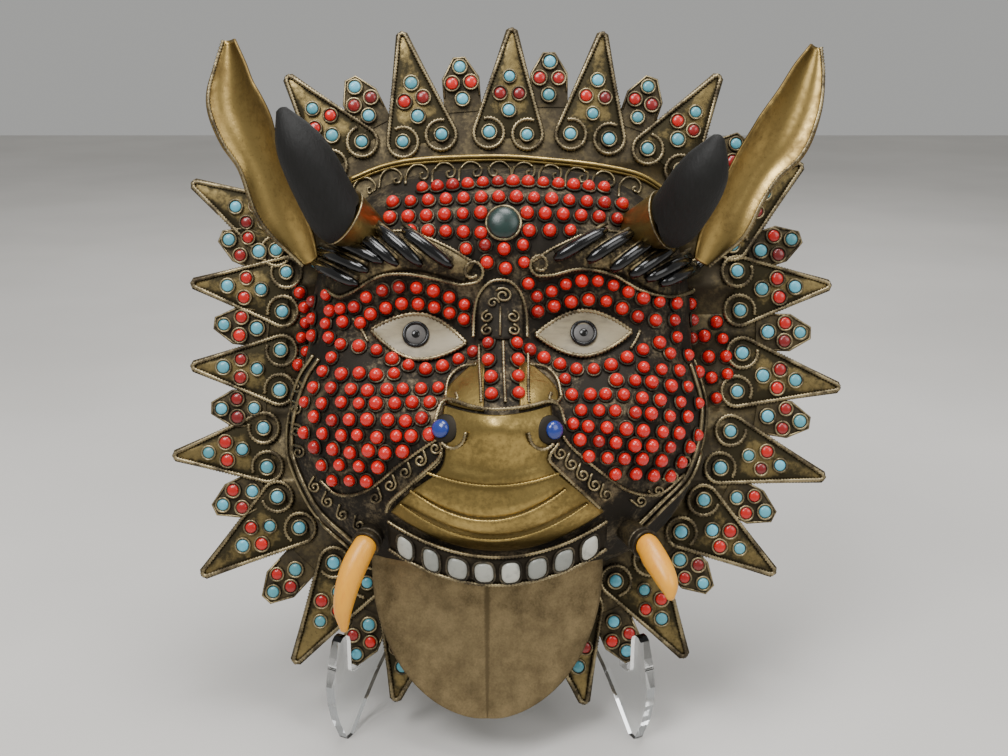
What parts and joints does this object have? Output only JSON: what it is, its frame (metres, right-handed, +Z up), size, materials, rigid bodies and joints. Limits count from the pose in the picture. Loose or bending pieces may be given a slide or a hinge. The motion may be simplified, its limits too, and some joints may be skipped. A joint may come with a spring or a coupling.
{
  "type": "tibetan cham mask",
  "caption": "Wrathful dance mask of sheet brass and filigree with a ray crown, horns, ears, tusks and hanging tongue, leaning back in a clear V-shaped easel.",
  "frame": {"origin": "middle of the overall box's floor, on the surface that the easel stands on", "axes": "+Z up, -Y the way the mask faces, +X to the viewer's right"},
  "size_m": [0.3346, 0.1824, 0.3403],
  "materials": {
    "aged_brass": "satin, worn, dark in the hollows",
    "dark_brass": "blackened",
    "bright_brass": "satin, rubbed",
    "horn_grey": "matt, dark",
    "bone": "satin",
    "tooth_white": "satin",
    "tusk_yellow": "satin",
    "dark_green_stone": "polished",
    "blue_stone": "polished",
    "clear_acrylic": "clear, polished"
  },
  "bodies": {
    "root": {"ray_plate": "aged_brass", "face_shell": "dark_brass", "muzzle": "bright_brass", "lip_band": "dark_brass", "tooth_1": "tooth_white", "tooth_2": "tooth_white", "tooth_3": "tooth_white", "tooth_4": "tooth_white", "tooth_5": "tooth_white", "tooth_6": "tooth_white", "tooth_7": "tooth_white", "tooth_8": "tooth_white", "eye_left": "bone", "eye_right": "bone", "brow_left": "dark_brass", "brow_right": "dark_brass", "bridge_panel": "dark_brass", "nose_wing_left": "bright_brass", "nose_wing_right": "bright_brass", "forehead_stone": "dark_green_stone", "nostril_stone_left": "blue_stone", "nostril_stone_right": "blue_stone", "horn_collar_left": "aged_brass", "horn_collar_right": "aged_brass", "horn_left": "horn_grey", "horn_right": "horn_grey", "ear_left": "bright_brass", "ear_right": "bright_brass", "tusk_socket_left": "dark_brass", "tusk_socket_right": "dark_brass", "tusk_left": "tusk_yellow", "tusk_right": "tusk_yellow", "tongue": "aged_brass", "easel": "clear_acrylic"}
  },
  "joints": []
}
